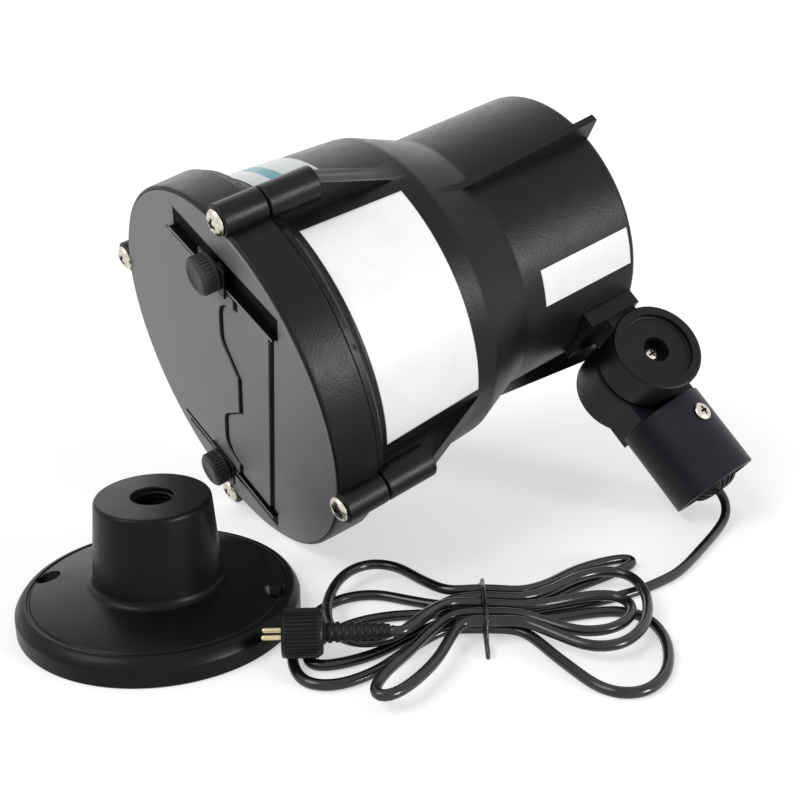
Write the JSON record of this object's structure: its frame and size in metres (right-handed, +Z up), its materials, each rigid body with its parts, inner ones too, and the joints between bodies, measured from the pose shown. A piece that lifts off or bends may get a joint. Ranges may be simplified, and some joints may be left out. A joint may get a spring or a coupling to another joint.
{
  "type": "laser bird deterrent",
  "caption": "Round laser projector with sliding beam shutters and a tilting pipe knuckle, lying beside its wall flange and a tied hank of low-voltage cord.",
  "frame": {"origin": "centre of the wall flange's underside, on the ground that every piece lies on", "axes": "+Z up; +X to the side where the projector's knuckle and the cord's exit lie; +Y away from the plug and the hank, towards the projector's rear"},
  "size_m": [0.3109, 0.2893, 0.1828],
  "materials": {
    "black_plastic": "moulded black, satin",
    "blue_black": "moulded blue-black, matt",
    "thumb_plastic": "moulded dark grey, satin",
    "grey_satin": "grey anodised, satin, slightly mottled",
    "rubber": "matt black",
    "glass": "clear, polished",
    "bright_steel": "bright zinc plate",
    "zinc_steel": "dull zinc plate",
    "aluminium": "bare, satin",
    "brass": "bright",
    "grating": "clear film with fine lines",
    "board_green": "green solder resist",
    "white_label": "white, satin",
    "silver_label": "silver foil",
    "liner_grey": "grey, satin",
    "cord_black": "black, glossy"
  },
  "bodies": {
    "mount": {"socket_arm": "blue_black", "pivot_screw": "bright_steel", "pivot_nut": "bright_steel", "friction_disc": "rubber", "set_screw": "bright_steel", "socket_liner": "liner_grey", "gland_body": "black_plastic", "cord_lead": "cord_black", "cord_hank": "cord_black", "cord_tie": "cord_black", "strain_relief": "black_plastic", "plug_body": "black_plastic", "plug_pin_near": "brass", "plug_pin_far": "brass", "wall_flange": "black_plastic"},
    "projector": {"front_cap": "black_plastic", "cap_screw_1": "bright_steel", "cap_screw_2": "bright_steel", "cap_screw_3": "bright_steel", "cap_screw_4": "bright_steel", "front_plate": "grey_satin", "shutter_guide_near": "black_plastic", "shutter_guide_far": "black_plastic", "shutter_clamp_near": "black_plastic", "shutter_clamp_far": "black_plastic", "window_gasket": "rubber", "window_glass": "glass", "window_retainer": "black_plastic", "housing": "black_plastic", "cap_seal": "rubber", "side_label": "white_label", "rear_label": "white_label", "top_sticker": "silver_label", "pivot_bracket": "black_plastic", "chassis_plate": "zinc_steel", "laser_module": "brass", "focus_ring": "brass", "heat_sink": "aluminium", "gear_motor": "zinc_steel", "circuit_board": "board_green", "board_capacitor": "aluminium", "board_post_1": "brass", "board_post_2": "brass", "board_post_3": "brass", "board_post_4": "brass", "lead_socket": "white_label", "cable_grommet": "rubber", "inner_lead": "cord_black"},
    "lower_slide": {"lower_shutter": "grey_satin"},
    "upper_slide": {"upper_shutter": "grey_satin"},
    "near_thumb": {"thumb_screw_near": "thumb_plastic"},
    "far_thumb": {"thumb_screw_far": "thumb_plastic"},
    "wheel": {"grating_wheel": "grating", "wheel_shaft": "bright_steel"},
    "gland_turn": {"gland_nut": "black_plastic"},
    "plug_collar": {"plug_ring": "black_plastic"}
  },
  "joints": [
    {"name": "projector_tilt", "type": "hinge", "parent": "mount", "child": "projector", "pos_m": [0.20614, 0.11232, 0.06431], "axis": [0.244, -0.6647, 0.7062], "range_deg": [-75, 0]},
    {"name": "lower_shutter_slide", "type": "slide", "parent": "projector", "child": "lower_slide", "axis": [0.604, -0.6678, -0.4351], "range_m": [-0.03, 0.01]},
    {"name": "upper_shutter_slide", "type": "slide", "parent": "projector", "child": "upper_slide", "axis": [0.604, -0.6678, -0.4351], "range_m": [-0.01, 0.028]},
    {"name": "near_thumb_turn", "type": "hinge", "parent": "projector", "child": "near_thumb", "pos_m": [0.02601, 0.03018, 0.13206], "axis": [0.7934, 0.5556, 0.2487], "continuous": true},
    {"name": "far_thumb_turn", "type": "hinge", "parent": "projector", "child": "far_thumb", "pos_m": [0.01679, 0.09062, 0.02649], "axis": [0.7934, 0.5556, 0.2487], "continuous": true},
    {"name": "grating_wheel_spin", "type": "hinge", "parent": "projector", "child": "wheel", "pos_m": [0.01475, 0.0569, 0.10832], "axis": [0.7934, 0.5556, 0.2487], "continuous": true},
    {"name": "gland_nut_turn", "type": "hinge", "parent": "mount", "child": "gland_turn", "pos_m": [0.24095, 0.0856, 0.01296], "axis": [0.5576, -0.4996, -0.6629], "continuous": true},
    {"name": "plug_ring_turn", "type": "hinge", "parent": "mount", "child": "plug_collar", "pos_m": [0.05179, -0.03961, 0.0135], "axis": [0.9986, 0.0523, 0], "continuous": true}
  ]
}
